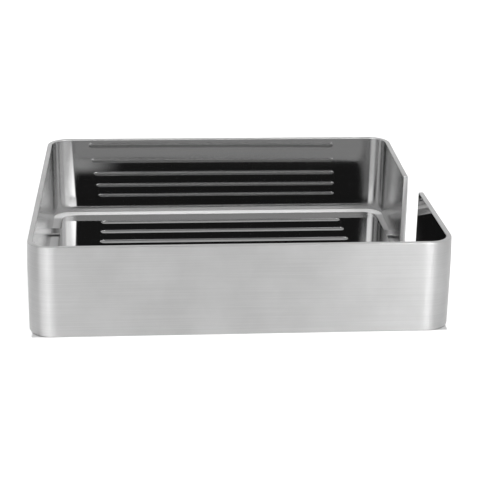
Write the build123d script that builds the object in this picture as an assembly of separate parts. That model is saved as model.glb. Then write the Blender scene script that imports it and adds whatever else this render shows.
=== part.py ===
from build123d import *
import math
import os

# A wall-mounted soap dish. One flat bar is bent into a nearly closed rectangle, with a gap in its right side.
# A slotted drain plate is welded into it by four small ears. A shallow housing on its back hangs on a wall bracket.
# Millimetres. +X is to the right, +Y into the wall, +Z up.
# The origin is on the wall's face, midway between the two screw holes of the wall bracket.

# One overrun for every cut that goes through a wall
cut_overrun = 1.0

# Frame band: the bent flat bar
frame_width = 135.0
frame_depth = 120.0
bar_height = 30.0
bar_thickness = 2.0
bar_edge_radius = 0.3
bend_outer_radius = 8.0
front_return_length = 50.0
side_gap_width = 18.0
rear_arm_toe_in = 1.8

# Drain plate: polished sheet with long slots across it and two ears on each side
# Its rear and front ends are bent down a little, so that water runs off them
plate_thickness = 0.6
plate_lift = 0.7
plate_end_gap = 5.4
plate_lip_length = 8.8
plate_lip_drop = 0.68
plate_side_gap = 3.4
plate_corner_radius = 5.0
plate_edge_radius = 0.2
slot_width = 3.0
slot_pitch = 10.5
slot_end_margin = 15.5
slot_edge_margin = 8.0
ear_length = 5.5
near_ear_offset = 26.9
far_ear_offset = 33.2

# Wall bracket: folded strip with a foot, a shelf and an upturned hook
bracket_width = 70.0
bracket_height = 12.3
bracket_sheet = 1.5
bracket_bend_radius = 0.3
hook_height = 2.5
hook_side_clearance = 0.4
hook_top_clearance = 0.5
screw_hole_spacing = 50.0
screw_hole_radius = 2.25
unhook_clearance = 3.2

# Mount housing: shallow box on the back of the band, open towards the wall
housing_standoff = 9.0
housing_sheet = 1.5
housing_underside_height = 4.0
housing_corner_radius = 1.5
housing_wall_clearance = 0.3
housing_side_clearance = 4.0
housing_bracket_clearance = 0.3

# Hook rail: folded strip welded inside the housing, which drops behind the bracket's hook
rail_sheet = 1.5
rail_bend_radius = 0.3

# Lock screws in the housing's ends, and the press nuts that they turn in
lock_screw_radius = 2.0
lock_screw_length = 5.0
lock_screw_point_chamfer = 0.8
lock_screw_rest_reach = 0.3
hex_socket_flats = 2.0
hex_socket_depth = 2.2
thread_clearance = 0.05
nut_head_radius = 3.2
nut_head_thickness = 1.5
nut_shank_radius = 2.7
nut_press_clearance = 0.05

# Heights above the frame's bottom edge
housing_floor_height = housing_underside_height + housing_sheet
bracket_bottom_height = housing_floor_height + unhook_clearance
shelf_top_height = bracket_bottom_height + bracket_height
hook_top_height = shelf_top_height + hook_height
rail_underside_height = hook_top_height + hook_top_clearance
rail_top_height = rail_underside_height + rail_sheet
housing_top_height = rail_top_height + housing_sheet
lock_screw_height = bracket_bottom_height + bracket_sheet / 2

# The screw holes set the origin's height, so the frame's bottom edge lies this far from it
screw_hole_height = (bracket_bottom_height + shelf_top_height) / 2
frame_bottom = -screw_hole_height

# Places along Y, where the wall's face is zero and everything in front of it is negative
frame_back = -housing_standoff
frame_front = frame_back - frame_depth
housing_inner_face = frame_back + housing_sheet
bracket_front = housing_inner_face + housing_bracket_clearance
rail_tongue_front = bracket_front + bracket_sheet + hook_side_clearance
rail_tongue_back = rail_tongue_front + rail_sheet
lock_screw_place = (housing_inner_face - housing_wall_clearance) / 2

# Sizes that follow from the values above
plate_width = frame_width - 2 * (bar_thickness + plate_side_gap)
plate_depth = frame_depth - 2 * (bar_thickness + plate_end_gap)
slot_length = plate_width - 2 * slot_end_margin
slot_count = math.floor((plate_depth - 2 * slot_edge_margin) / slot_pitch) + 1
housing_inner_width = bracket_width + 2 * housing_side_clearance
housing_width = housing_inner_width + 2 * housing_sheet


def box_between(x_span, y_span, z_span):
    """A box given by its low and high value along each axis."""
    spans = (x_span, y_span, z_span)
    centre = [(low + high) / 2 for low, high in spans]
    size = [high - low for low, high in spans]
    return Pos(*centre) * Box(*size)


def rod_along_x(radius, low, high):
    """A cylinder on the X axis between two places on it."""
    return Pos((low + high) / 2, 0, 0) * Rot(0, 90, 0) * Cylinder(radius, high - low)


def folded_strip(outline, bends, width):
    """A strip of folded sheet, as wide along X as width, from its outline in depth and height.

    bends gives the radius of each rounded corner of the outline, by the corner's place in it.
    """
    section = make_face(Polyline(*outline, close=True))
    for place, radius in bends.items():
        corner = Vector(*outline[place])
        section = fillet(section.vertices().sort_by_distance(corner)[:1], radius)
    side = Plane(origin=(-width / 2, 0, 0), x_dir=(0, 1, 0), z_dir=(1, 0, 0))
    return Pos(0, 0, frame_bottom) * extrude(side * section, width)


def make_frame_band():
    """The flat bar on its edge, swept along the rectangle from one free end to the other."""
    side = (frame_width - bar_thickness) / 2
    front = frame_front + bar_thickness / 2
    back = frame_back - bar_thickness / 2
    front_end = frame_front + front_return_length
    rear_end = front_end + side_gap_width
    corners = [
        (side, front_end),
        (side, front),
        (-side, front),
        (-side, back),
        (side, back),
        (side - rear_arm_toe_in, rear_end),
    ]
    path = FilletPolyline(*corners, radius=bend_outer_radius - bar_thickness / 2)
    start = Plane(origin=corners[0], x_dir=(1, 0, 0), z_dir=(0, -1, 0))
    bar = sweep(start * Rectangle(bar_thickness, bar_height), path=path)
    bar = fillet(bar.edges(), bar_edge_radius)
    return Pos(0, 0, frame_bottom + bar_height / 2) * bar


def make_drain_plate(frame_band):
    """The slotted plate, where its outline meets the bent sheet's section.

    Its ears are made too long and then trimmed to the band's inner faces. Every upper edge is rounded, apart from
    the seams where the flat middle meets its two bent ends.
    """
    sheet = RectangleRounded(plate_width, plate_depth, plate_corner_radius)
    ear_reach = plate_width / 2 + plate_side_gap + bar_thickness / 2
    ears = ((-1, far_ear_offset), (-1, -near_ear_offset), (1, near_ear_offset), (1, -far_ear_offset))
    for side, offset in ears:
        sheet += Pos(side * ear_reach / 2, offset) * Rectangle(ear_reach, ear_length)
    slot = SlotOverall(slot_length, slot_width)
    for number in range(slot_count):
        sheet -= Pos(0, (number - (slot_count - 1) / 2) * slot_pitch) * slot
    end = plate_depth / 2
    bend = end - plate_lip_length
    outline = [(-end, -plate_lip_drop), (-bend, 0), (bend, 0), (end, -plate_lip_drop)]
    outline += [(place, height + plate_thickness) for place, height in reversed(outline)]
    section = Plane.YZ.offset(-ear_reach) * make_face(Polyline(*outline, close=True))
    plate = extrude(section, 2 * ear_reach) & extrude(sheet, plate_thickness + plate_lip_drop, both=True)
    upper = plate.faces().filter_by(lambda face: face.normal_at().Z > 0.5)
    seams = [edge for edge in upper.edges() if sum(edge in face.edges() for face in upper) > 1]
    plate = fillet([edge for edge in upper.edges() if edge not in seams], plate_edge_radius)
    trimmed = Pos(0, (frame_back + frame_front) / 2, frame_bottom + plate_lift) * plate - frame_band
    return trimmed.solids().sort_by(SortBy.VOLUME)[-1]


def make_wall_bracket():
    """The strip that is screwed to the wall: a foot and a shelf folded forwards, and a hook folded up."""
    hook_back = bracket_front + bracket_sheet
    outline = [
        (bracket_front, bracket_bottom_height),
        (0, bracket_bottom_height),
        (0, shelf_top_height),
        (hook_back, shelf_top_height),
        (hook_back, hook_top_height),
        (bracket_front, hook_top_height),
        (bracket_front, shelf_top_height - bracket_sheet),
        (-bracket_sheet, shelf_top_height - bracket_sheet),
        (-bracket_sheet, bracket_bottom_height + bracket_sheet),
        (bracket_front, bracket_bottom_height + bracket_sheet),
    ]
    outside = bracket_bend_radius + bracket_sheet
    bends = {
        1: outside,
        2: outside,
        3: bracket_bend_radius,
        6: outside,
        7: bracket_bend_radius,
        8: bracket_bend_radius,
    }
    bracket = folded_strip(outline, bends, bracket_width)
    hole = Rot(90, 0, 0) * Cylinder(screw_hole_radius, bracket_sheet + 2 * cut_overrun)
    for side in (-1, 1):
        bracket -= Pos(side * screw_hole_spacing / 2, -bracket_sheet / 2, 0) * hole
    return bracket


def at_both_ends(shape):
    """The shape on the lock screws' axis at the housing's right end, and its mirror image at the left."""
    right = Pos(0, lock_screw_place, frame_bottom + lock_screw_height) * shape
    return [mirror(right, Plane.YZ), right]


def make_mount_housing():
    """The shallow box welded to the band's back, with a hole in each end for a press nut."""
    outer = box_between(
        (-housing_width / 2, housing_width / 2),
        (frame_back, -housing_wall_clearance),
        (housing_underside_height, housing_top_height),
    )
    outer = fillet(outer.edges().filter_by(Axis.Y), housing_corner_radius)
    hollow = box_between(
        (-housing_inner_width / 2, housing_inner_width / 2),
        (housing_inner_face, cut_overrun),
        (housing_floor_height, rail_top_height),
    )
    nut_hole = rod_along_x(
        nut_shank_radius + nut_press_clearance,
        housing_inner_width / 2 - cut_overrun,
        housing_width / 2 + cut_overrun,
    )
    housing = Pos(0, 0, frame_bottom) * (outer - hollow)
    for hole in at_both_ends(nut_hole):
        housing -= hole
    return housing


def make_hook_rail():
    """The folded strip under the housing's top, whose tongue stands on the bracket's shelf."""
    outline = [
        (housing_inner_face, rail_top_height),
        (rail_tongue_back, rail_top_height),
        (rail_tongue_back, shelf_top_height),
        (rail_tongue_front, shelf_top_height),
        (rail_tongue_front, rail_underside_height),
        (housing_inner_face, rail_underside_height),
    ]
    bends = {1: rail_bend_radius + rail_sheet, 4: rail_bend_radius}
    return folded_strip(outline, bends, bracket_width)


def make_insert_nuts():
    """Two press nuts. Each has a shank through the housing's end and a head inside it."""
    head_face = housing_inner_width / 2 - nut_head_thickness
    nut = rod_along_x(nut_head_radius, head_face, housing_inner_width / 2)
    nut += rod_along_x(nut_shank_radius, housing_inner_width / 2, housing_width / 2)
    nut -= rod_along_x(
        lock_screw_radius + thread_clearance,
        head_face - cut_overrun,
        housing_width / 2 + cut_overrun,
    )
    return Compound(children=at_both_ends(nut))


def make_lock_screws():
    """The left and right grub screws, backed off so that each point only just stands out of its nut."""
    point = housing_inner_width / 2 - nut_head_thickness - lock_screw_rest_reach
    tail = point + lock_screw_length
    screw = rod_along_x(lock_screw_radius, point, tail)
    screw = chamfer(screw.edges().sort_by(Axis.X)[0], lock_screw_point_chamfer)
    socket = Plane.YZ.offset(tail) * RegularPolygon(hex_socket_flats / 2, 6, major_radius=False)
    screw -= extrude(socket, -hex_socket_depth)
    return at_both_ends(screw)


def main():
    """Builds every piece and writes one STEP file for each node."""
    frame_band = make_frame_band()
    lock_screw_left, lock_screw_right = make_lock_screws()
    nodes = {
        "frame_band": frame_band,
        "drain_plate": make_drain_plate(frame_band),
        "mount_housing": make_mount_housing(),
        "hook_rail": make_hook_rail(),
        "wall_bracket": make_wall_bracket(),
        "insert_nuts": make_insert_nuts(),
        "lock_screw_left": lock_screw_left,
        "lock_screw_right": lock_screw_right,
    }
    os.makedirs("parts", exist_ok=True)
    for name, shape in nodes.items():
        export_step(shape, f"parts/{name}.step")


main()
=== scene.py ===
import logging
import math
from dataclasses import dataclass
from enum import Enum
from typing import Any

import bpy
import numpy as np
from mathutils import Matrix


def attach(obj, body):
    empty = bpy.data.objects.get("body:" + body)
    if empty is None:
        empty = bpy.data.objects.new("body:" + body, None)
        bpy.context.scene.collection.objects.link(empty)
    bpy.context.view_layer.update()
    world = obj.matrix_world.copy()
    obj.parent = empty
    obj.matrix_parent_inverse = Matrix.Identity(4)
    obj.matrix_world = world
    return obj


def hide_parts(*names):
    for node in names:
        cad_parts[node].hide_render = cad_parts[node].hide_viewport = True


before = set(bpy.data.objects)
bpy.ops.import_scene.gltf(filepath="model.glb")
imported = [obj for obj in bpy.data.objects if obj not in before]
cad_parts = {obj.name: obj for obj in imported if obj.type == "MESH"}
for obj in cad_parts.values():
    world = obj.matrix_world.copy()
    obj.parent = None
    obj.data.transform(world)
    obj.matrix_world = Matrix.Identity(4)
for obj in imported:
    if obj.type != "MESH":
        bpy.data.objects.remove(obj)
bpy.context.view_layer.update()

MM = 0.001
# A noise lies mostly within NOISE_SPREAD of its middle, and the sum of two noises mostly within
# NOISE_SUM_SPREAD of twice the middle.
NOISE_MIDDLE = 0.5
NOISE_SPREAD = 0.15
NOISE_SUM_SPREAD = 0.25
# A highlight that is turned by a quarter turn spreads across the strokes.
QUARTER_TURN = 0.25
# Where its bends are softened, the bar counts as going straight on past its ends by this many millimetres.
STRAIGHT_ON_MM = 100.0
# Four rising edges of a soft window: it opens between the first two and closes between the last two.
Edges = tuple[float, float, float, float]
# A soft-edged rectangle: the edges of its window sideways, and of its window lengthways.
Area = tuple[Edges, Edges]
log = logging.getLogger("soap_dish")


def linear_colour(code: str) -> tuple[float, float, float, float]:
    """Turns an sRGB hex colour into the linear one that the shaders take.

    Args:
        code: Six hex digits after a hash sign.

    Returns:
        Red, green, blue and alpha, each from 0 to 1.
    """
    channels = np.array([int(code[place:place + 2], 16) for place in (1, 3, 5)]) / 255
    linear = np.where(channels > 0.04045, ((channels + 0.055) / 1.055) ** 2.4, channels / 12.92)
    return (*(float(channel) for channel in linear), 1.0)


def add_node(
    tree: bpy.types.NodeTree, kind: str, inputs: dict[Any, Any] | None = None, **settings: Any
) -> bpy.types.Node:
    """Adds one node, sets it and links it.

    Args:
        tree: The node tree that gets the node.
        kind: The node's type without its ShaderNode prefix.
        inputs: A value or an output socket for each input, by the input's name or place.
        settings: Values for the node's own properties.

    Returns:
        The new node.
    """
    node = tree.nodes.new("ShaderNode" + kind)
    for name, value in settings.items():
        setattr(node, name, value)
    for name, value in (inputs or {}).items():
        if isinstance(value, bpy.types.NodeSocket):
            tree.links.new(value, node.inputs[name])
        else:
            node.inputs[name].default_value = value
    return node


def soft_window(
    tree: bpy.types.NodeTree, value: bpy.types.NodeSocket, edges: Edges, unit: float
) -> bpy.types.NodeSocket:
    """Makes a smooth window over a value: the product of a soft rise and a soft fall.

    Args:
        tree: The node tree.
        value: An angle in degrees, or a place on the floor in metres.
        edges: The window's four edges.
        unit: What one unit of the edges is in the value's own.

    Returns:
        The window's value: 0 beyond the outer edges, and 1 between the inner ones.
    """
    opening, opened, closing, closed = (edge * unit for edge in edges)
    rise = add_node(tree, "MapRange", {
        "Value": value,
        "From Min": opening,
        "From Max": opened,
    }, interpolation_type="SMOOTHSTEP")
    fall = add_node(tree, "MapRange", {
        "Value": value,
        "From Min": closing,
        "From Max": closed,
        "To Min": 1.0,
        "To Max": 0.0,
    }, interpolation_type="SMOOTHSTEP")
    both = {0: rise.outputs["Result"], 1: fall.outputs["Result"]}
    return add_node(tree, "Math", both, operation="MULTIPLY").outputs[0]


def soft_patch(
    tree: bpy.types.NodeTree, place: tuple[bpy.types.NodeSocket, ...], area: Area, unit: float = 1.0
) -> bpy.types.NodeSocket:
    """Makes a soft-edged rectangle: the product of a window sideways and one lengthways.

    Args:
        tree: The node tree.
        place: The value sideways and the one lengthways.
        area: The edges of their windows.
        unit: What one unit of the edges is in the values' own.

    Returns:
        The patch's value: 1 in it and 0 around it.
    """
    sideways, lengthways = (soft_window(tree, value, edges, unit) for value, edges in zip(place, area))
    return add_node(tree, "Math", {0: sideways, 1: lengthways}, operation="MULTIPLY").outputs[0]


def grid_mesh(name: str, points: np.ndarray) -> bpy.types.Mesh:
    """Makes an open surface from a grid of points, with one quad between each four neighbours.

    Args:
        name: The mesh's name.
        points: Rows by columns by three, in metres.

    Returns:
        The new mesh.
    """
    rows, columns = points.shape[:2]
    row, column = np.meshgrid(np.arange(rows - 1), np.arange(columns - 1), indexing="ij")
    first = row * columns + column
    quads = np.stack((first, first + 1, first + columns + 1, first + columns), axis=-1).reshape(-1, 4)
    mesh = bpy.data.meshes.new(name)
    mesh.from_pydata(points.reshape(-1, 3), [], quads.tolist())
    mesh.polygons.foreach_set("use_smooth", np.ones(len(quads), dtype=bool))
    mesh.update()
    return mesh


def add_object(name: str, data: bpy.types.ID) -> bpy.types.Object:
    """Puts an object into the scene, unturned and at the origin.

    Args:
        name: The object's name.
        data: Its mesh or camera.

    Returns:
        The new object.
    """
    piece = bpy.data.objects.new(name, data)
    bpy.context.scene.collection.objects.link(piece)
    return piece


class Grain(Enum):
    """How a surface's strokes lie."""

    ALONG_BAR = "along the bar"
    ALONG_X = "along the X axis"
    ROUND_X = "in rings round the X axis"


class BandSlot(Enum):
    """The band's material slots. Its two end faces have the outside's."""

    OUTSIDE = 0
    INSIDE = 1
    EDGE = 2


@dataclass(frozen=True)
class SteelFinish:
    """One way of finishing stainless steel.

    The steel reflects about six tenths of the light. What differs is how far it was ground or polished.
    """

    name: str
    grain: Grain
    shade: str = "#CBCBCB"
    dull_shade: str = "#C4C4C4"
    roughness: float = 0.3
    roughness_spread: float = 0.05
    satin_roughness: float = 0.0
    anisotropy: float = 0.0
    stroke_width_mm: float = 0.45
    stroke_length_mm: float = 40.0
    stroke_depth_mm: float = 0.0
    stroke_detail: float = 2.0
    smudge_size_mm: float = 14.0
    smudge_detail: float = 3.0
    smudge_roughness: float = 0.55

    def strokes(self, tree: bpy.types.NodeTree, place: bpy.types.NodeSocket) -> bpy.types.NodeSocket:
        """Draws the strokes of the belt or tool.

        They are noise that changes about once per stroke width across them, and once per stroke length along
        them. Strokes along the bar follow its UV map instead of the object coordinates.

        Args:
            tree: The material's node tree.
            place: The object coordinates.

        Returns:
            The noise, from 0 to 1 round a middle of a half.
        """
        if self.grain is Grain.ALONG_BAR:
            place = add_node(tree, "UVMap", uv_map="bar").outputs["UV"]
        fine = 1 / (self.stroke_width_mm * MM)
        slow = 1 / (self.stroke_length_mm * MM)
        scale = (fine, slow, slow) if self.grain is Grain.ROUND_X else (slow, fine, fine)
        stretched = add_node(tree, "Mapping", {"Vector": place, "Scale": scale}).outputs["Vector"]
        noise = {"Vector": stretched, "Scale": 1.0, "Detail": self.stroke_detail}
        return add_node(tree, "TexNoise", noise).outputs["Fac"]

    def smudges(self, tree: bpy.types.NodeTree, place: bpy.types.NodeSocket) -> bpy.types.NodeSocket:
        """Draws the soft blotches that handling and the wheel leave, as noise of the smudges' size.

        Args:
            tree: The material's node tree.
            place: The object coordinates.

        Returns:
            The noise, from 0 to 1 round a middle of a half.
        """
        return add_node(tree, "TexNoise", {
            "Vector": place,
            "Scale": 1 / (self.smudge_size_mm * MM),
            "Detail": self.smudge_detail,
            "Roughness": self.smudge_roughness,
        }).outputs["Fac"]

    def material(self) -> bpy.types.Material:
        """Builds the finish as a node material.

        Strokes and smudges together darken the steel a little. The smudges also change its gloss, and strokes
        that have a depth roughen its surface. A finish that has a satin roughness goes over to it by the
        share that the mesh's attribute named satin gives.

        Returns:
            The new material.
        """
        material = bpy.data.materials.new(self.name)
        material.use_nodes = True
        tree = material.node_tree
        shader = tree.nodes["Principled BSDF"]
        shader.inputs["Metallic"].default_value = 1.0
        place = add_node(tree, "TexCoord").outputs["Object"]
        smudges = self.smudges(tree, place)
        strokes = self.strokes(tree, place)
        marks = add_node(tree, "Math", {0: smudges, 1: strokes}, operation="ADD").outputs[0]
        dulled = add_node(tree, "MapRange", {
            "Value": marks,
            "From Min": 2 * NOISE_MIDDLE - NOISE_SUM_SPREAD,
            "From Max": 2 * NOISE_MIDDLE + NOISE_SUM_SPREAD,
        }).outputs["Result"]
        shades = {"Factor": dulled, 6: linear_colour(self.shade), 7: linear_colour(self.dull_shade)}
        shade = add_node(tree, "Mix", shades, data_type="RGBA").outputs[2]
        tree.links.new(shade, shader.inputs["Base Color"])
        gloss = add_node(tree, "MapRange", {
            "Value": smudges,
            "From Min": NOISE_MIDDLE - NOISE_SPREAD,
            "From Max": NOISE_MIDDLE + NOISE_SPREAD,
            "To Min": self.roughness - self.roughness_spread,
            "To Max": self.roughness + self.roughness_spread,
        }).outputs["Result"]
        if self.satin_roughness:
            satin = add_node(tree, "Attribute", attribute_name="satin").outputs["Fac"]
            both = {"Factor": satin, "A": gloss, "B": self.satin_roughness}
            gloss = add_node(tree, "Mix", both, data_type="FLOAT").outputs[0]
        tree.links.new(gloss, shader.inputs["Roughness"])
        if self.stroke_depth_mm:
            bump = add_node(tree, "Bump", {"Height": strokes, "Distance": self.stroke_depth_mm * MM})
            tree.links.new(bump.outputs["Normal"], shader.inputs["Normal"])
        if self.anisotropy:
            shader.inputs["Anisotropic"].default_value = self.anisotropy
            shader.inputs["Anisotropic Rotation"].default_value = QUARTER_TURN
            tangent = add_node(tree, "Tangent", direction_type="UV_MAP", uv_map="bar")
            tree.links.new(tangent.outputs["Tangent"], shader.inputs["Tangent"])
        return material


@dataclass
class FrameBand:
    """The flat bar on its edge, bent into a nearly closed rectangle.

    Sizes are in millimetres, the lean and the angles in degrees. What holds one value for each run, or for
    each bend between two runs, starts at the front free end and goes round by the front, the left side and
    the rear to the rear arm. A bend's two values of softness are its reach at the top and at the bottom. The
    rear run's hollow has its middle off the run's own by hollow_middle along X.
    """

    width: float = 135.0
    depth: float = 120.0
    height: float = 30.0
    thickness: float = 2.0
    edge_radius: float = 0.3
    bend_radius: float = 7.0
    front_return: float = 50.0
    gap: float = 18.0
    toe_in: float = 1.8
    standoff: float = 9.0
    bottom: float = -14.85
    bend_steps: int = 40
    edge_steps: int = 5
    end_steps: int = 4
    end_first_angle: float = 15.0
    straight_step: float = 1.5
    rear_run: int = 3
    rear_lean: float = 1.7
    hollow_radii: tuple[float, ...] = (4000.0, 4000.0, 4000.0, 750.0, 4000.0)
    hollow_middle: float = -6.5
    cross_hollow_radius: float = 330.0
    run_satin: tuple[float, ...] = (0.0, 0.0, 1.0, 0.0, 1.0)
    satin_fade: float = 4.5
    bend_softness: tuple[tuple[float, float], ...] = ((1.0, 1.0), (1.0, 1.0), (2.5, 4.0), (1.5, 0.7))
    outer_softness: float = 3.0
    crown_reach: float = 12.0
    crown_fall: float = 0.3
    crown_tilt: float = 5.5
    crown_steps: int = 6

    @property
    def inner_column(self) -> int:
        """The inside's place among the faces round the section: that past three corners and the crown."""
        return 3 * (self.edge_steps + 1) + self.crown_steps - 1

    def corners(self) -> np.ndarray:
        """Places the middle line's corner points in plan.

        Returns:
            The points, from the front free end to the rear one.
        """
        side = (self.width - self.thickness) / 2
        back = -self.standoff - self.thickness / 2
        front = -self.standoff - self.depth + self.thickness / 2
        front_end = -self.standoff - self.depth + self.front_return
        return np.array([
            (side, front_end),
            (side, front),
            (-side, front),
            (-side, back),
            (side, back),
            (side - self.toe_in, front_end + self.gap),
        ])

    def straights(self) -> tuple[np.ndarray, np.ndarray, np.ndarray]:
        """Works out the straight runs between the bends.

        An arc starts radius * tan(half the turn) before its corner. The edge radius is left off both of the
        free ends.

        Returns:
            Each run's start, end and unit direction in plan.
        """
        corners = self.corners()
        runs = np.diff(corners, axis=0)
        runs /= np.linalg.norm(runs, axis=1)[:, None]
        half_turn = np.arccos(np.clip(np.sum(runs[:-1] * runs[1:], axis=1), -1, 1)) / 2
        short = np.concatenate(([self.edge_radius], self.bend_radius * np.tan(half_turn), [self.edge_radius]))
        return corners[:-1] + runs * short[:-1, None], corners[1:] - runs * short[1:, None], runs

    def middle_line(self) -> tuple[np.ndarray, np.ndarray, np.ndarray]:
        """Works out the bar's middle line: straight runs joined by arcs that touch them.

        A point of an arc is its centre minus the radius times the inward direction turned by the angle so
        far. The polished inside is a little hollow along each run: its direction leads by the distance from
        the run's middle over the hollow's radius, and the lead changes evenly from one run's end to the next
        one's start. The mirror polish of the rear run fades to satin towards both of its bends.

        Returns:
            The points in plan, the unit direction, and five columns of slopes: the lead in radians, the lean
            in degrees, the share of satin, and the nearest bend's softness at the top and at the bottom.
        """
        softness = np.array(self.bend_softness)
        starts, ends, runs = self.straights()
        middles = (starts + ends) / 2
        middles[self.rear_run, 0] += self.hollow_middle
        radii = np.array(self.hollow_radii)
        first_leads = np.sum((starts - middles) * runs, axis=1) / radii
        last_leads = np.sum((ends - middles) * runs, axis=1) / radii
        leans = np.where(np.arange(len(runs)) == self.rear_run, self.rear_lean, 0.0)
        points, directions, slopes = [], [], []
        for place, (start, end, run) in enumerate(zip(starts, ends, runs)):
            length = np.linalg.norm(end - start)
            share = np.linspace(0, 1, max(2, round(length / self.straight_step)) + 1)[:, None]
            from_bend = np.minimum(share, 1 - share) * length
            near_bend = np.clip(1 - from_bend / self.satin_fade, 0, 1) ** 2 * (place == self.rear_run)
            points.append(start + (end - start) * share)
            directions.append(np.repeat(run[None], len(share), axis=0))
            leads = first_leads[place] + (last_leads[place] - first_leads[place]) * share
            lean = np.full_like(share, leans[place])
            satin = np.maximum(self.run_satin[place], near_bend)
            bend_before = softness[max(place - 1, 0)]
            bend_after = softness[min(place, len(softness) - 1)]
            soft = np.where(share < 0.5, bend_before, bend_after)
            slopes.append(np.concatenate((leads, lean, satin, soft), axis=1))
            if place + 1 < len(runs):
                left = np.array((-run[1], run[0]))
                turn = math.atan2(left @ runs[place + 1], run @ runs[place + 1])
                inwards = left * math.copysign(1.0, turn)
                share = np.linspace(0, 1, self.bend_steps + 1)[1:-1, None]
                angle = abs(turn) * share
                points.append(end + self.bend_radius * (inwards * (1 - np.cos(angle)) + run * np.sin(angle)))
                directions.append(run * np.cos(angle) + inwards * np.sin(angle))
                before = np.array((last_leads[place], leans[place], 1.0, *softness[place]))
                after = np.array((first_leads[place + 1], leans[place + 1], 1.0, *softness[place]))
                slopes.append(before + (after - before) * share)
        return np.concatenate(points), np.concatenate(directions), np.concatenate(slopes)

    def section(self) -> tuple[np.ndarray, np.ndarray]:
        """Works out the bar's cross-section: a rectangle whose corners are quarter circles.

        A point is a corner of the inner rectangle plus the edge radius times the outward direction there. The
        outside is crowned towards the rim by the grinding belt: over the crown's reach the surface falls back
        by the square of the share of the reach, and its gloss tilts up in step with the share.

        Returns:
            The inner rectangle's corner and the outward unit direction for each place on the outline.
        """
        half = np.array((self.thickness, self.height)) / 2 - self.edge_radius
        signs = np.array(((1, -1), (1, 1), (-1, 1), (-1, -1)))
        starts = np.radians((-90, 0, 90, 180))
        angle = starts[:, None] + np.linspace(0, math.pi / 2, self.edge_steps + 1)
        tilt = math.radians(self.crown_tilt)
        angle[1, 0] = tilt
        outward = np.stack((np.cos(angle), np.sin(angle)), axis=-1).reshape(-1, 2)
        core = np.repeat(signs * half, self.edge_steps + 1, axis=0)
        top_corner = self.edge_steps + 1
        core[top_corner:2 * top_corner, 0] -= self.crown_fall
        share = np.linspace(0, 1, self.crown_steps + 1)[:-1]
        fall = share ** 2 * self.crown_fall
        crown_core = np.stack((half[0] - fall, half[1] - self.crown_reach * (1 - share)), axis=-1)
        crown_outward = np.stack((np.cos(share * tilt), np.sin(share * tilt)), axis=-1)
        core = np.insert(core, top_corner, crown_core, axis=0)
        return core, np.insert(outward, top_corner, crown_outward, axis=0)

    def rings(self) -> tuple[np.ndarray, np.ndarray, np.ndarray, np.ndarray, np.ndarray]:
        """Lines up every ring of the sweep, with the rings that round the two free ends.

        A ring at the angle a of an end's rounding lies radius * (1 - cos a) inside the end, its own rounding
        shrinks by sin a, and its outward direction leans out of the end by cos a.

        Returns:
            Each ring's centre, its direction along the bar, its share of the rounding, how far its outward
            direction leans out of the end, and the middle line's five columns of slopes.
        """
        line, way, slopes = self.middle_line()
        angle = np.radians(np.linspace(self.end_first_angle, 90, self.end_steps + 1)[:-1])
        back = (self.edge_radius * np.cos(angle))[:, None]
        added = (len(angle), len(angle))
        line = np.concatenate((line[0] - way[0] * back, line, line[-1] + way[-1] * back[::-1]))
        way, slopes = (np.pad(values, (added, (0, 0)), mode="edge") for values in (way, slopes))
        middle = len(line) - sum(added)
        grow = np.concatenate((np.sin(angle), np.ones(middle), np.sin(angle[::-1])))
        lean = np.concatenate((-np.cos(angle), np.zeros(middle), np.cos(angle[::-1])))
        return line, way, grow, lean, slopes

    @staticmethod
    def softened(line: np.ndarray, way: np.ndarray, reach: np.ndarray) -> np.ndarray:
        """Softens the bends' starts: averages the heading over the reach to both sides of each ring.

        The average is how much the heading's running integral grows from one end of that stretch to the
        other, over its length.

        Args:
            line: Each ring's centre.
            way: Each ring's direction along the bar.
            reach: Each ring's reach.

        Returns:
            Each ring's softened direction.
        """
        steps = np.linalg.norm(np.diff(line, axis=0), axis=1)
        steps = np.concatenate(([STRAIGHT_ON_MM], steps, [STRAIGHT_ON_MM]))
        heading = np.unwrap(np.arctan2(way[:, 1], way[:, 0]))
        heading = np.concatenate((heading[:1], heading, heading[-1:]))
        along = np.concatenate(([0.0], np.cumsum(steps)))
        integral = np.concatenate(([0.0], np.cumsum((heading[1:] + heading[:-1]) / 2 * steps)))
        middle = along[1:-1]
        growth = np.interp(middle + reach, along, integral) - np.interp(middle - reach, along, integral)
        mean = growth / (2 * reach)
        return np.stack((np.cos(mean), np.sin(mean)), axis=1)

    def outer_normals(
        self, line: np.ndarray, way: np.ndarray, grow: np.ndarray, lean: np.ndarray, outward: np.ndarray
    ) -> np.ndarray:
        """Works out how light leaves the outside and the edges.

        The direction is the section's outward one, turned with the bar's softened direction, times the share
        of the rounding, plus the direction along the bar times the lean out of the end.

        Args:
            line: Each ring's centre.
            way: Each ring's direction along the bar.
            grow: Each ring's share of the rounding.
            lean: How far each ring's outward direction leans out of the end.
            outward: The section's outward unit directions.

        Returns:
            The normals: rings by places on the section by three.
        """
        rows, columns = len(line), len(outward)
        soft_way = self.softened(line, way, np.full(rows, self.outer_softness))
        soft_outside = np.stack((-soft_way[:, 1], soft_way[:, 0]), axis=1)
        sideways = soft_outside[:, None] * outward[None, :, :1]
        upwards = np.broadcast_to(outward[None, :, 1:], (rows, columns, 1))
        normals = np.concatenate((sideways, upwards), axis=-1) * grow[:, None, None]
        normals[..., :2] += way[:, None] * lean[:, None, None]
        return normals

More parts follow.
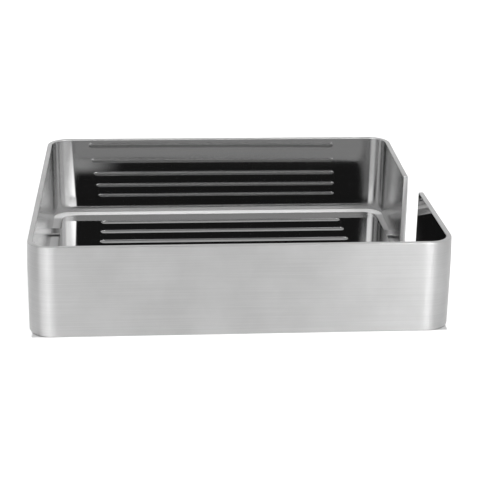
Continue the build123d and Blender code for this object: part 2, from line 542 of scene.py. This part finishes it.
    def hollow_normals(self, line: np.ndarray, way: np.ndarray, slopes: np.ndarray) -> np.ndarray:
        """Works out how light leaves the polished inside, which polishing left a little hollow.

        The inward direction turns back along the bar by the lead, and tips down by the lean and by the height
        over the middle divided by the cross hollow's radius. Everywhere that is over 0.81 degrees from the
        edge's own direction, because stored normals that are closer get averaged, which bends the
        reflections.

        Args:
            line: Each ring's centre.
            way: Each ring's direction along the bar.
            slopes: The middle line's five columns of slopes, with a row for each ring.

        Returns:
            Rings by two by three: the unit normals at the top and at the bottom of the inside.
        """
        lead, lean, _, soft_top, soft_bottom = slopes.T
        ways = np.stack([self.softened(line, way, reach) for reach in (soft_top, soft_bottom)], axis=1)
        inwards = np.stack((ways[..., 1], -ways[..., 0]), axis=-1)
        plan = inwards - ways * lead[:, None, None]
        heights = np.array((1, -1)) * (self.height / 2 - self.edge_radius)
        tip = np.radians(lean)[:, None] + heights / self.cross_hollow_radius
        normals = np.concatenate((plan, -np.tan(tip)[..., None]), axis=-1)
        return normals / np.linalg.norm(normals, axis=-1, keepdims=True)

    def give_slots(self, mesh: bpy.types.Mesh, rows: int, columns: int) -> None:
        """Gives each face its material slot.

        The rounding of the outer top edge was ground with the outside, but for the last step of it.

        Args:
            mesh: The band's mesh, whose quads come first and whose two end faces come last.
            rows: The number of rings.
            columns: The number of places on the section.
        """
        kinds = np.full(columns, BandSlot.EDGE.value)
        kinds[self.edge_steps:2 * self.edge_steps + self.crown_steps] = BandSlot.OUTSIDE.value
        kinds[self.inner_column] = BandSlot.INSIDE.value
        ends = (BandSlot.OUTSIDE.value, BandSlot.OUTSIDE.value)
        kinds = np.concatenate((np.broadcast_to(kinds, (rows - 1, columns)).reshape(-1), ends))
        mesh.polygons.foreach_set("material_index", kinds.astype(np.int32))
        mesh.polygons.foreach_set("use_smooth", np.ones(len(kinds), dtype=bool))

    def store_normals(
        self, mesh: bpy.types.Mesh, outer: np.ndarray, hollow: np.ndarray, way: np.ndarray
    ) -> None:
        """Stores a normal for each corner of each face. The end faces are flat.

        Args:
            mesh: The band's mesh, whose quads come first and whose two end faces come last.
            outer: The normals of the outside and the edges: rings by places on the section by three.
            hollow: The inside's normals: rings by two by three, first at the top and then at the bottom.
            way: Each ring's direction along the bar.
        """
        rows, columns = outer.shape[:2]
        quad_corners = 4 * (rows - 1) * columns
        vertex = np.empty(len(mesh.loops), dtype=np.int32)
        mesh.loops.foreach_get("vertex_index", vertex)
        stored = outer.reshape(-1, 3)[vertex]
        stored[quad_corners:quad_corners + columns] = (*-way[0], 0)
        stored[quad_corners + columns:] = (*way[-1], 0)
        inside = np.stack((hollow[:-1, 0], hollow[:-1, 1], hollow[1:, 1], hollow[1:, 0]), axis=1)
        stored[:quad_corners].reshape(rows - 1, columns, 4, 3)[:, self.inner_column] = inside
        mesh.normals_split_custom_set(stored.tolist())

    @staticmethod
    def map_bar(
        mesh: bpy.types.Mesh, line: np.ndarray, outline: np.ndarray, row: np.ndarray, column: np.ndarray
    ) -> None:
        """Writes the UV map named bar: the distance along the bar and the one round its section, in metres.

        Args:
            mesh: The band's mesh, whose quads come first and whose two end faces come last.
            line: Each ring's centre.
            outline: The section's points.
            row: The ring that each quad starts on.
            column: The section's point that each quad starts on.
        """
        along = np.concatenate(([0], np.cumsum(np.linalg.norm(np.diff(line, axis=0), axis=1))))
        closed = np.concatenate((outline, outline[:1]))
        across = np.concatenate(([0], np.cumsum(np.linalg.norm(np.diff(closed, axis=0), axis=1))))
        u = np.stack((along[row], along[row], along[row + 1], along[row + 1]), axis=-1)
        v = np.stack((across[column], across[column + 1], across[column + 1], across[column]), axis=-1)
        quads = np.stack((u.reshape(-1), v.reshape(-1)), axis=1)
        uv = np.concatenate((quads, outline[::-1], outline)) * MM
        layer = mesh.uv_layers.new(name="bar")
        layer.data.foreach_set("uv", uv.astype(np.float32).reshape(-1))

    def build(self) -> bpy.types.Object:
        """Carries the section along the middle line and closes both ends.

        A vertex is the ring's centre plus the section's point, measured outwards and upwards.

        Returns:
            The band, with its faces in BandSlot's slots.
        """
        line, way, grow, lean, slopes = self.rings()
        core, outward = self.section()
        outside = np.stack((-way[:, 1], way[:, 0]), axis=1)
        offset = core[None] + outward[None] * (self.edge_radius * grow)[:, None, None]
        plan = line[:, None] + outside[:, None] * offset[..., :1]
        points = np.concatenate((plan, self.bottom + self.height / 2 + offset[..., 1:]), axis=-1)
        rows, columns = points.shape[:2]
        row, column = np.meshgrid(np.arange(rows - 1), np.arange(columns), indexing="ij")
        here = row * columns + column
        beside = row * columns + (column + 1) % columns
        quads = np.stack((here, beside, beside + columns, here + columns), axis=-1).reshape(-1, 4)
        caps = [list(range(columns))[::-1], list(range((rows - 1) * columns, rows * columns))]
        mesh = bpy.data.meshes.new("frame_band_dressed")
        mesh.from_pydata(points.reshape(-1, 3) * MM, [], quads.tolist() + caps)
        self.give_slots(mesh, rows, columns)
        self.map_bar(mesh, line, core + outward * self.edge_radius, row, column)
        outer = self.outer_normals(line, way, grow, lean, outward)
        self.store_normals(mesh, outer, self.hollow_normals(line, way, slopes), way)
        satin_share = np.repeat(slopes[:, 2], columns)
        satin = mesh.attributes.new("satin", "FLOAT", "POINT")
        satin.data.foreach_set("value", satin_share.astype(np.float32))
        mesh.update()
        return add_object("frame_band_dressed", mesh)


@dataclass(frozen=True)
class Panel:
    """A soft-edged patch of the room.

    Its area is in degrees, round from straight in front of the dish and up from the horizon. Its level is
    added to the room's, or taken off it where the level is below zero.
    """

    level: float
    area: Area


@dataclass
class Studio:
    """A white room with lit and shaded panels, a dark gap where the camera stands, and a pale floor with
    painted shade under the dish.

    Where a direction has between back_share and front_share of its length to the front, the room goes from
    its back level to its front level. The gap is given as a panel's area is, and so is its right upper
    corner, which loses a share of its darkness. The floor's level and its areas are in millimetres, aside
    from the dish's middle and along the Y axis, and its reach is in metres. The camera's sensor and lens are
    in millimetres, its place in metres, its shift in widths of the sensor and its angles in radians.
    """

    panels: tuple[Panel, ...] = (
        # The left window
        Panel(1.2, ((-70.0, -50.0, -34.0, -22.0), (0.0, 8.0, 35.0, 60.0))),
        # The right window, with the shade under it and the one over it
        Panel(1.9, ((7.0, 9.0, 18.0, 26.0), (14.0, 17.0, 25.0, 29.0))),
        Panel(-0.9, ((4.0, 8.0, 17.0, 22.0), (-1.0, 0.0, 9.0, 13.0))),
        Panel(-0.5, ((4.0, 8.0, 17.0, 22.0), (32.0, 40.0, 91.0, 92.0))),
        # The right screen
        Panel(0.8, ((20.0, 25.0, 36.0, 50.0), (4.0, 10.0, 34.0, 46.0))),
        # The shade on the left side and on the right side
        Panel(-0.6, ((-130.0, -105.0, -80.0, -60.0), (8.0, 12.0, 30.0, 38.0))),
        Panel(-0.4, ((66.0, 76.0, 105.0, 130.0), (8.0, 12.0, 30.0, 38.0))),
        # The lamps high on the left and high on the right
        Panel(10.0, ((-38.0, -34.0, -24.0, -18.0), (42.0, 47.0, 60.0, 66.0))),
        Panel(16.0, ((22.0, 26.0, 36.0, 42.0), (42.0, 47.0, 60.0, 66.0))),
        # The dim ceiling
        Panel(-0.5, ((-180.0, -179.0, 179.0, 180.0), (38.0, 50.0, 91.0, 92.0))),
        # The bright strip along the table's far edge
        Panel(1.7, ((-45.0, -30.0, 1.0, 7.0), (-1.0, 0.0, 9.0, 12.0))),
        # The low shade across the left window
        Panel(-0.8, ((-82.0, -72.0, -34.0, -24.0), (13.0, 17.0, 24.0, 29.0))),
    )
    front_level: float = 1.05
    front_share: float = 0.3
    back_level: float = 0.8
    back_share: float = -0.9
    gap_level: float = 0.02
    gap: Area = ((-27.0, -21.0, 6.5, 8.5), (11.0, 15.0, 34.0, 40.0))
    gap_corner: Area = ((4.25, 4.85, 90.0, 91.0), (21.3, 22.3, 24.0, 25.5))
    gap_corner_share: float = 0.5
    floor_level: float = -15.0
    floor_reach: float = 4.0
    floor_shade: str = "#C0C0C0"
    floor_roughness: float = 0.6
    # The floor's glow. Under the dish it paints shade: a dim painted light under the slots, none at the side
    # gaps.
    camera_glow: float = 0.65
    glossy_glow: float = 0.4
    slot_glow: float = 0.24
    mirrored_slot_glow: float = 0.09
    slots: Area = ((-2.0, -1.0, 52.0, 54.0), (-124.0, -122.0, -20.0, -18.0))
    footprint: Area = ((-2.0, -1.0, 66.0, 67.0), (-129.0, -128.0, -10.5, -9.5))
    unlit: Area = ((54.0, 56.0, 68.0, 69.0), (-130.0, -129.0, -19.0, -16.0))
    camera_sensor: float = 36.0
    camera_lens: float = 97.6
    camera_shift: float = -0.1
    camera_place: tuple[float, float, float] = (-0.0329, -0.5049, 0.15976)
    camera_turn: float = -0.0834
    camera_tilt: float = 0.3248
    camera_roll: float = 0.0163

    def surroundings(self) -> None:
        """Makes a world that is white to the camera and the room to every other ray.

        The angle round from the front is the arctangent of the direction's X over its share to the front, and
        the one up from the horizon is the arcsine of its Z.
        """
        world = bpy.data.worlds.new("white_surroundings")
        world.use_nodes = True
        bpy.context.scene.world = world
        tree = world.node_tree
        tree.nodes.clear()
        direction = add_node(tree, "SeparateXYZ", {0: add_node(tree, "TexCoord").outputs["Generated"]})
        turned_y = {0: direction.outputs["Y"], 1: -1.0}
        forward = add_node(tree, "Math", turned_y, operation="MULTIPLY").outputs[0]
        azimuth = add_node(tree, "Math", {0: direction.outputs["X"], 1: forward}, operation="ARCTAN2")
        azimuth = add_node(tree, "Math", {0: azimuth.outputs[0]}, operation="DEGREES").outputs[0]
        elevation = add_node(tree, "Math", {0: direction.outputs["Z"]}, operation="ARCSINE")
        elevation = add_node(tree, "Math", {0: elevation.outputs[0]}, operation="DEGREES").outputs[0]
        sky = (azimuth, elevation)
        level = add_node(tree, "MapRange", {
            "Value": forward,
            "From Min": self.back_share,
            "From Max": self.front_share,
            "To Min": self.back_level,
            "To Max": self.front_level,
        }, interpolation_type="SMOOTHSTEP").outputs["Result"]
        for panel in self.panels:
            lit = {0: soft_patch(tree, sky, panel.area), 1: panel.level, 2: level}
            level = add_node(tree, "Math", lit, operation="MULTIPLY_ADD").outputs[0]
        gap = soft_patch(tree, sky, self.gap)
        corner = {0: soft_patch(tree, sky, self.gap_corner), 1: -self.gap_corner_share, 2: 1.0}
        kept = add_node(tree, "Math", corner, operation="MULTIPLY_ADD").outputs[0]
        gap = add_node(tree, "Math", {0: gap, 1: kept}, operation="MULTIPLY").outputs[0]
        room = {"Factor": gap, "A": level, "B": self.gap_level}
        level = add_node(tree, "Mix", room, data_type="FLOAT").outputs[0]
        path = add_node(tree, "LightPath")
        seen = {"Factor": path.outputs["Is Camera Ray"], "A": level, "B": 1.0}
        strength = add_node(tree, "Mix", seen, data_type="FLOAT").outputs[0]
        white = linear_colour("#FFFFFF")
        background = add_node(tree, "Background", {"Color": white, "Strength": strength})
        add_node(tree, "OutputWorld", {"Surface": background.outputs["Background"]})

    def matte_acrylic(self) -> bpy.types.Material:
        """Builds the floor's material.

        It is cast acrylic sheet with a matted face: a white without reflections, which still takes a shadow.
        Its glow makes it white to the camera and lights the steel's reflections. Under the dish the glow is
        mostly left out, which paints shade there where the gaps and slots show the floor: to the camera a dim
        painted light stays, and none at the side gaps; in the steel's reflections only a dimmer painted light
        under the slots.
        The areas lie alike on both sides of the dish's middle.

        Returns:
            The new material.
        """
        material = bpy.data.materials.new("matte_white_acrylic")
        material.use_nodes = True
        tree = material.node_tree
        shader = tree.nodes["Principled BSDF"]
        shader.inputs["Base Color"].default_value = linear_colour(self.floor_shade)
        shader.inputs["Roughness"].default_value = self.floor_roughness
        path = add_node(tree, "LightPath")
        place = add_node(tree, "SeparateXYZ", {0: add_node(tree, "TexCoord").outputs["Object"]})
        aside = add_node(tree, "Math", {0: place.outputs["X"]}, operation="ABSOLUTE").outputs[0]
        spot = (aside, place.outputs["Y"])
        # Painted shade: under the dish the glow drops to a dim painted light, and to none at the side gaps.
        under_dish = soft_patch(tree, spot, self.footprint, MM)
        under_sides = soft_patch(tree, spot, self.unlit, MM)
        under_slots = soft_patch(tree, spot, self.slots, MM)
        below = {"Value": under_sides, "To Min": self.slot_glow, "To Max": 0.0}
        below = add_node(tree, "MapRange", below).outputs["Result"]
        to_camera = {"Factor": under_dish, "A": self.camera_glow, "B": below}
        to_camera = add_node(tree, "Mix", to_camera, data_type="FLOAT").outputs[0]
        # Painted shade in the steel's reflections: under the dish only a dimmer painted light under the
        # slots.
        mirrored = {"Value": under_slots, "To Max": self.mirrored_slot_glow}
        mirrored = add_node(tree, "MapRange", mirrored).outputs["Result"]
        to_steel = {"Factor": under_dish, "A": self.glossy_glow, "B": mirrored}
        to_steel = add_node(tree, "Mix", to_steel, data_type="FLOAT").outputs[0]
        seen = {0: path.outputs["Is Camera Ray"], 1: to_camera}
        seen = add_node(tree, "Math", seen, operation="MULTIPLY").outputs[0]
        strength = {0: path.outputs["Is Glossy Ray"], 1: to_steel, 2: seen}
        strength = add_node(tree, "Math", strength, operation="MULTIPLY_ADD").outputs[0]
        glow = add_node(tree, "Emission", {"Color": linear_colour("#FFFFFF"), "Strength": strength})
        both = add_node(tree, "AddShader", {0: shader.outputs["BSDF"], 1: glow.outputs["Emission"]})
        tree.links.new(both.outputs["Shader"], tree.nodes["Material Output"].inputs["Surface"])
        return material

    def floor(self) -> bpy.types.Object:
        """Makes the floor: a level square that reaches equally far each way.

        Returns:
            The floor.
        """
        reach = np.linspace(-self.floor_reach, self.floor_reach, 3)
        x, y = np.meshgrid(reach, reach)
        points = np.stack((x, y, np.full_like(x, self.floor_level * MM)), axis=-1)
        floor = add_object("pale_floor", grid_mesh("pale_floor", points))
        floor.data.materials.append(self.matte_acrylic())
        return floor

    def camera(self) -> bpy.types.Object:
        """Takes the photograph's view: slightly left of the dish, looking down and a little to the right.

        Returns:
            The camera.
        """
        view = bpy.data.cameras.new("photo_view")
        view.sensor_width = self.camera_sensor
        view.lens = self.camera_lens
        view.shift_y = self.camera_shift
        camera = add_object("photo_view", view)
        turn = Matrix.Rotation(self.camera_turn, 4, "Z")
        tilt = Matrix.Rotation(math.pi / 2 - self.camera_tilt, 4, "X")
        roll = Matrix.Rotation(self.camera_roll, 4, "Z")
        camera.matrix_world = Matrix.Translation(self.camera_place) @ (turn @ tilt @ roll)
        bpy.context.scene.camera = camera
        return camera

    def build(self) -> None:
        """Sets up the whole studio."""
        self.surroundings()
        self.floor()
        self.camera()


@dataclass
class SoapDish:
    """The dish with its fixing, and the finish of each of its pieces."""

    band: FrameBand

    def dress_band(self) -> None:
        """Replaces the CAD's band by a smooth one with three finishes, which go into BandSlot's slots."""
        # Flat bar ground lengthwise on a belt of about grit 240. The strokes are a few hundredths of a
        # millimetre wide, so they spread a highlight upright across them and keep it narrow along the bar,
        # and the eye sees a soft grey sheen with bright bends. They are drawn ten times as wide as they are,
        # or they wouldn't show.
        satin = SteelFinish(
            "satin_ground_stainless", Grain.ALONG_BAR, shade="#D4D4D4", dull_shade="#CBCBCB",
            roughness=0.42, roughness_spread=0.015, anisotropy=1.0,
        ).material()
        # The inside was buffed after bending. The eye sees a mirror along the rear run and the front, and a
        # finer satin in the bends, on the left side and on the rear arm, where the wheel didn't reach.
        inside = SteelFinish(
            "mirror_to_satin_stainless", Grain.ALONG_BAR, dull_shade="#C9C9C9",
            roughness=0.018, roughness_spread=0.004, satin_roughness=0.18, anisotropy=0.8,
        ).material()
        # The bar's edges were broken with a fine abrasive pad: a thin, evenly lit line without reflections.
        cut = SteelFinish("broken_stainless_edge", Grain.ALONG_BAR, roughness=0.34).material()
        band = self.band.build()
        for material in (satin, inside, cut):
            band.data.materials.append(material)
        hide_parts("frame_band")
        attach(band, "dish")
        log.info("built %s", band.name)

    def dress_nodes(self) -> None:
        """Gives every other piece the finish of its kind. Their shapes stay the CAD's."""
        # Sheet polished before it was cut: a dark, clear mirror that takes its look from what is around it.
        polished = SteelFinish(
            "mirror_polished_stainless", Grain.ALONG_X, dull_shade="#C9C9C9",
            roughness=0.018, roughness_spread=0.004,
        ).material()
        # The housing's sheet has the bar's satin, ground along its length before it was folded, with strokes
        # just deep enough to catch the light.
        ground = SteelFinish(
            "satin_ground_sheet", Grain.ALONG_X, dull_shade="#BCBCBC",
            roughness=0.38, roughness_spread=0.05, stroke_depth_mm=0.004,
        ).material()
        # Cold-rolled sheet as it comes from the mill, annealed and pickled: a milky grey sheen with faint
        # rolling lines. It stays so on the two folded strips, which nobody sees once the dish hangs.
        rolled = SteelFinish(
            "cold_rolled_stainless", Grain.ALONG_X, shade="#BEBEBC", dull_shade="#B0B0AE",
            roughness=0.45, stroke_width_mm=1.2, stroke_length_mm=90.0, smudge_size_mm=9.0,
        ).material()
        # Fasteners turned from bar: darker, with the tool's fine rings, drawn coarser than the real feed of
        # about a tenth of a millimetre so that they show.
        turned = SteelFinish(
            "turned_stainless", Grain.ROUND_X, shade="#B8B8B6", dull_shade="#A2A2A0",
            roughness=0.3, stroke_width_mm=0.25, stroke_length_mm=20.0, stroke_depth_mm=0.01,
            smudge_size_mm=3.0,
        ).material()
        finishes = {
            "drain_plate": polished,
            "mount_housing": ground,
            "hook_rail": rolled,
            "wall_bracket": rolled,
            "insert_nuts": turned,
            "lock_screw_left": turned,
            "lock_screw_right": turned,
        }
        for node, material in finishes.items():
            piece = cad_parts[node]
            piece.data.materials.clear()
            piece.data.materials.append(material)
            log.info("dressed %s", node)

    def build(self) -> None:
        """Dresses the whole dish."""
        self.dress_band()
        self.dress_nodes()


def main() -> None:
    """Builds the dish and its studio."""
    logging.basicConfig(level=logging.INFO)
    SoapDish(FrameBand()).build()
    Studio().build()
    bpy.context.scene.view_settings.view_transform = "Standard"


if __name__ == "__main__":
    main()
